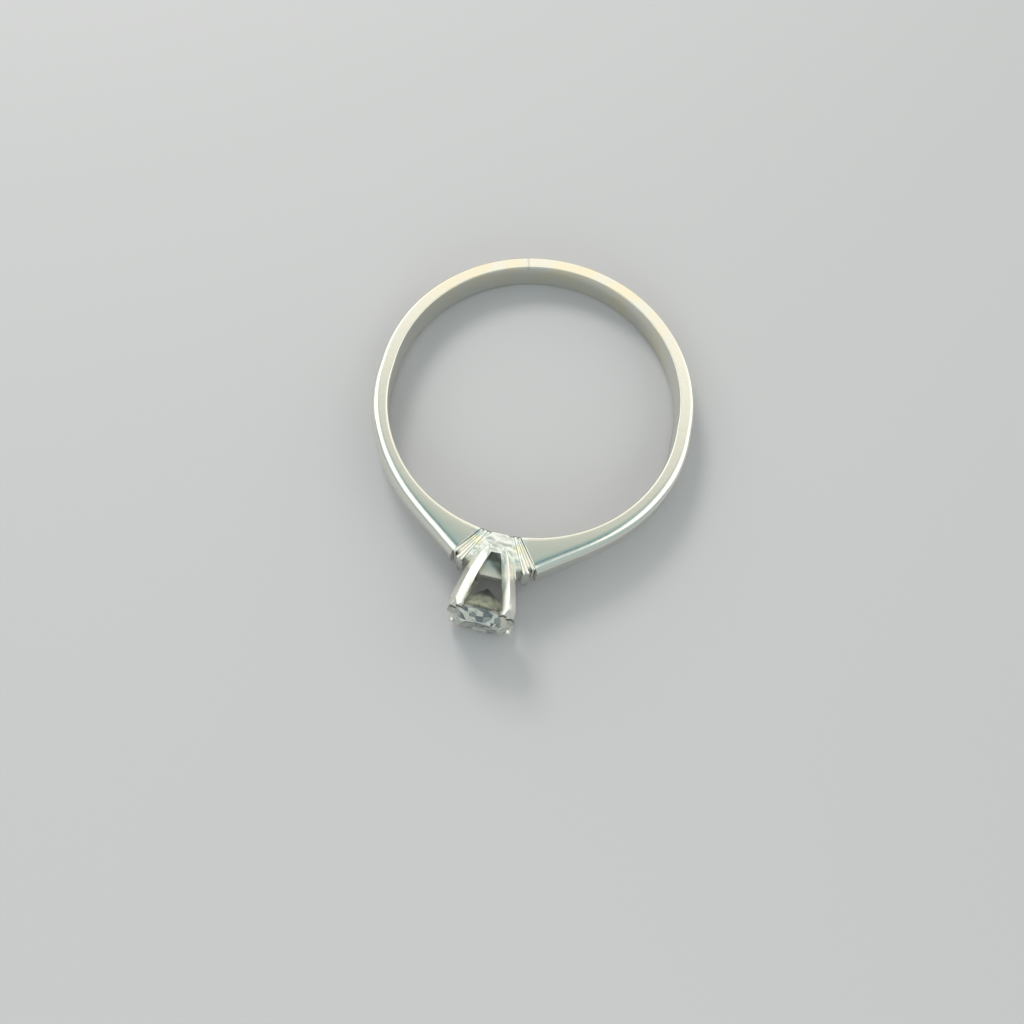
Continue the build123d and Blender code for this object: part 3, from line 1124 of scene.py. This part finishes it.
def sky():
    """Soft studio surroundings: pale all round, with a darker teal patch overhead."""
    world = bpy.data.worlds.new("Soft studio")
    bpy.context.scene.world = world
    world.use_nodes = True
    graph = Graph(world.node_tree)
    x, y, z = graph.parts(graph.node("ShaderNodeTexCoord", out="Generated"))
    stops = [((way + 1) / 2, colour) for way, colour in SKY_STOPS]
    overhead = graph.ramp(stops, (y + 1.0) * 0.5)
    sides = abs(x).rises(GLOW_OUT) * (y - x * GLOW_SLANT).rises(GLOW_BACK)
    sides = sides * (z + y.rises(GLOW_LOWER) * GLOW_DROP).rises(GLOW_UP)
    colour = graph.mix(sides, overhead, SIDE_GLOW)
    horizon = graph.mix(y.rises(HORIZON_TURN), HORIZON_FRONT, HORIZON_BACK)
    colour = graph.mix(z.falls(HORIZON_UP), colour, horizon)
    shader = graph.node("ShaderNodeBackground", {}, {"Color": colour})
    graph.node("ShaderNodeOutputWorld", {}, {"Surface": shader})


def pale_floor(graph):
    """A plain matt floor."""
    return graph.principled({"Base Color": FLOOR_COLOUR, "Roughness": FLOOR_ROUGHNESS})


def photo_camera():
    """The camera at the photograph's viewing angle."""
    data = bpy.data.cameras.new("camera")
    data.lens, data.sensor_width = sizes().stage.lens, CAMERA_SENSOR
    data.clip_start, data.clip_end = CAMERA_NEAREST, CAMERA_FARTHEST
    camera = new_object("camera", data)
    turn = Matrix((CAMERA_RIGHT, -CAMERA_DOWN, -CAMERA_AHEAD)).transposed().to_4x4()
    camera.matrix_world = ring_place() @ Matrix.Translation(CAMERA_AT * MM) @ turn
    return camera


class RING_OT_stage(bpy.types.Operator):
    """Adds the floor, the lights and the camera"""

    bl_idname = "ring.stage"
    bl_label = "Stage"

    def execute(self, context):
        stage = sizes().stage
        bm = bmesh.new()
        bmesh.ops.create_grid(bm, x_segments=1, y_segments=1, size=FLOOR_HALF)
        floor = mesh_object("floor", bm, material_of("Pale floor", pale_floor))
        sky()
        soft_light(KEY, stage.key_power)
        soft_light(FILL, stage.fill_power)
        context.scene.view_settings.view_transform = "Standard"
        context.scene.camera = photo_camera()
        return {"FINISHED"}


class RING_PT_panel(bpy.types.Panel):
    """Lists the ring's pieces in the sidebar"""

    bl_label = "Ring"
    bl_idname = "RING_PT_panel"
    bl_space_type = "VIEW_3D"
    bl_region_type = "UI"
    bl_category = "Ring"

    def draw(self, context):
        for operator in OPERATORS:
            self.layout.operator(operator.bl_idname)


GROUPS = {
    "ring_shank": RingShankSizes,
    "ring_setting": RingSettingSizes,
    "ring_finish": RingFinish,
    "ring_stage": RingStage,
}
OPERATORS = (RING_OT_shank, RING_OT_ridges, RING_OT_foot, RING_OT_claws, RING_OT_stone, RING_OT_stage)
CLASSES = (*GROUPS.values(), *OPERATORS, RING_PT_panel)


def register():
    """Registers the classes and adds the settings to the scene."""
    for cls in CLASSES:
        bpy.utils.register_class(cls)
    for name, group in GROUPS.items():
        setattr(bpy.types.Scene, name, PointerProperty(type=group))


def unregister():
    """Takes the settings and the classes away."""
    for name in GROUPS:
        delattr(bpy.types.Scene, name)
    for cls in reversed(CLASSES):
        bpy.utils.unregister_class(cls)


def main():
    """Builds the ring and its stage."""
    register()
    bpy.ops.ring.shank()
    bpy.ops.ring.ridges()
    bpy.ops.ring.foot()
    bpy.ops.ring.claws()
    bpy.ops.ring.stone()
    bpy.ops.ring.stage()


if __name__ == "__main__":
    main()
